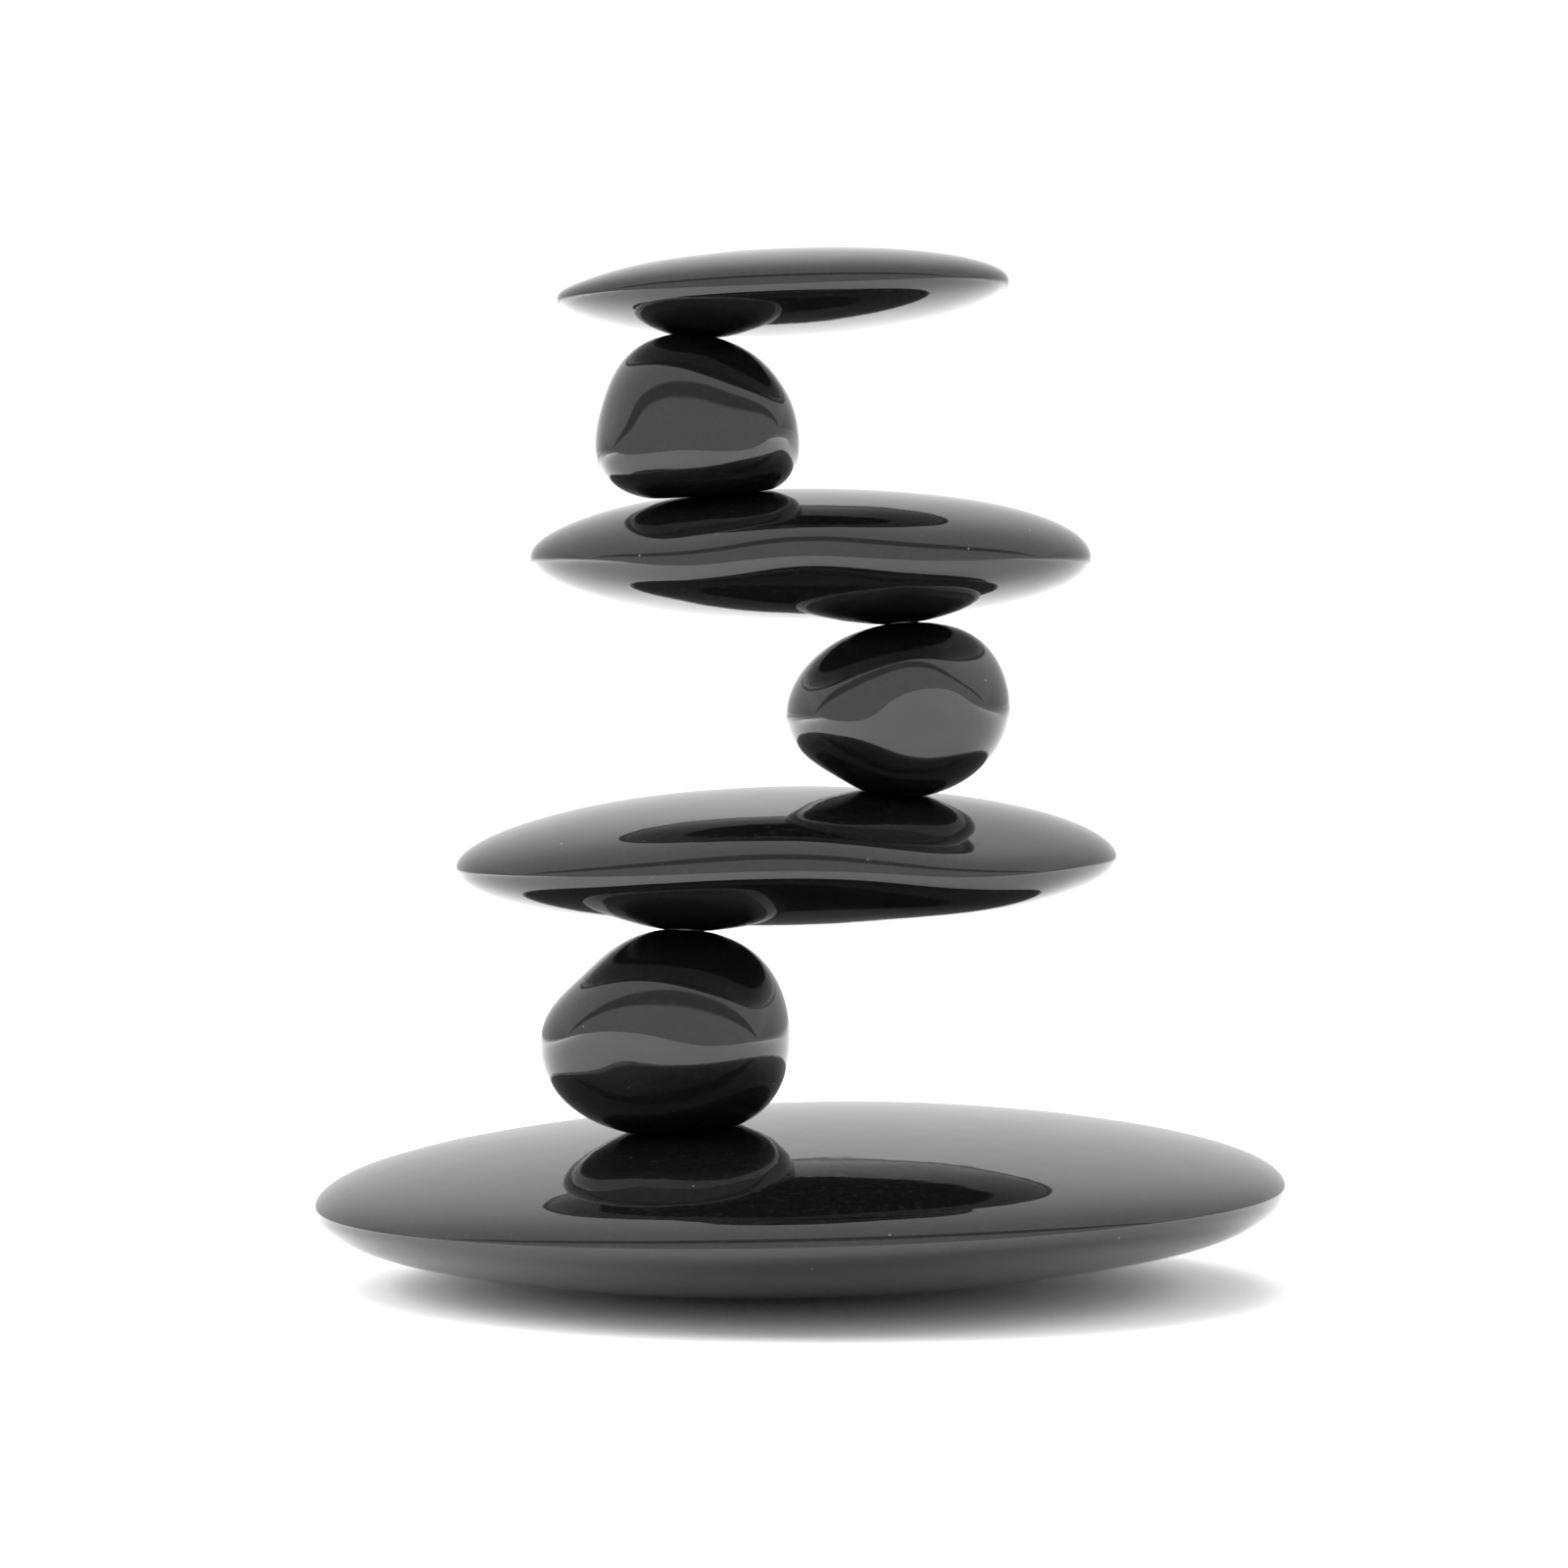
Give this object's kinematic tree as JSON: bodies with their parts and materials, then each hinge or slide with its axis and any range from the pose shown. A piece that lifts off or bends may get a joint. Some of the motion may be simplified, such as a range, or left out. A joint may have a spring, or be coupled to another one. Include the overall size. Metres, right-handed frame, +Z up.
{
  "type": "basalt massage stone stack",
  "caption": "Balanced stack of polished black basalt massage stones, flat discs alternating with round pebbles, each turning and lifting off on a hidden steel dowel pin.",
  "frame": {"origin": "on the surface that the stack stands on, under the middle of the base stone's outline", "axes": "+Z up the stack, +X along the base stone's length to the right, -Y towards the front, from where the round stones sit left, right and left"},
  "size_m": [0.1502, 0.142, 0.1594],
  "materials": {
    "polished_basalt": "polished",
    "dowel_steel": "satin"
  },
  "bodies": {
    "base_stone": {"base_stone": "polished_basalt"},
    "base_pin": {"base_pin": "dowel_steel"},
    "lower_round_stone": {"lower_round_stone": "polished_basalt"},
    "lower_round_pin": {"lower_round_pin": "dowel_steel"},
    "lower_flat_stone": {"lower_flat_stone": "polished_basalt"},
    "lower_flat_pin": {"lower_flat_pin": "dowel_steel"},
    "middle_round_stone": {"middle_round_stone": "polished_basalt"},
    "middle_round_pin": {"middle_round_pin": "dowel_steel"},
    "middle_flat_stone": {"middle_flat_stone": "polished_basalt"},
    "middle_flat_pin": {"middle_flat_pin": "dowel_steel"},
    "upper_round_stone": {"upper_round_stone": "polished_basalt"},
    "upper_round_pin": {"upper_round_pin": "dowel_steel"},
    "top_flat_stone": {"top_flat_stone": "polished_basalt"}
  },
  "joints": [
    {"name": "base_pin_turn", "type": "hinge", "parent": "base_stone", "child": "base_pin", "pos_m": [-0.01728, -0.01781, 0.02583], "axis": [-0.0737, -0.0626, 0.9953], "continuous": true},
    {"name": "lower_round_stone_lift", "type": "slide", "parent": "base_pin", "child": "lower_round_stone", "axis": [-0.0737, -0.0626, 0.9953], "range_m": [0, 0.01]},
    {"name": "lower_round_pin_turn", "type": "hinge", "parent": "lower_round_stone", "child": "lower_round_pin", "pos_m": [-0.01753, -0.01704, 0.05539], "axis": [0.0461, 0.113, 0.9925], "continuous": true},
    {"name": "lower_flat_stone_lift", "type": "slide", "parent": "lower_round_pin", "child": "lower_flat_stone", "axis": [0.0461, 0.113, 0.9925], "range_m": [0, 0.01]},
    {"name": "lower_flat_pin_turn", "type": "hinge", "parent": "lower_flat_stone", "child": "lower_flat_pin", "pos_m": [0.01422, -0.00829, 0.07614], "axis": [0.076, -0.0661, 0.9949], "continuous": true},
    {"name": "middle_round_stone_lift", "type": "slide", "parent": "lower_flat_pin", "child": "middle_round_stone", "axis": [0.076, -0.0661, 0.9949], "range_m": [0, 0.008]},
    {"name": "middle_round_pin_turn", "type": "hinge", "parent": "middle_round_stone", "child": "middle_round_pin", "pos_m": [0.01543, -0.00903, 0.10175], "axis": [-0.0764, 0.0801, 0.9938], "continuous": true},
    {"name": "middle_flat_stone_lift", "type": "slide", "parent": "middle_round_pin", "child": "middle_flat_stone", "axis": [-0.0764, 0.0801, 0.9938], "range_m": [0, 0.008]},
    {"name": "middle_flat_pin_turn", "type": "hinge", "parent": "middle_flat_stone", "child": "middle_flat_pin", "pos_m": [-0.01107, -0.00732, 0.1219], "axis": [-0.0761, -0.0721, 0.9945], "continuous": true},
    {"name": "upper_round_stone_lift", "type": "slide", "parent": "middle_flat_pin", "child": "upper_round_stone", "axis": [-0.0761, -0.0721, 0.9945], "range_m": [0, 0.007]},
    {"name": "upper_round_pin_turn", "type": "hinge", "parent": "upper_round_stone", "child": "upper_round_pin", "pos_m": [-0.01616, -0.00841, 0.14534], "axis": [0.0724, 0.1188, 0.9903], "continuous": true},
    {"name": "top_flat_stone_lift", "type": "slide", "parent": "upper_round_pin", "child": "top_flat_stone", "axis": [0.0724, 0.1188, 0.9903], "range_m": [0, 0.007]}
  ]
}
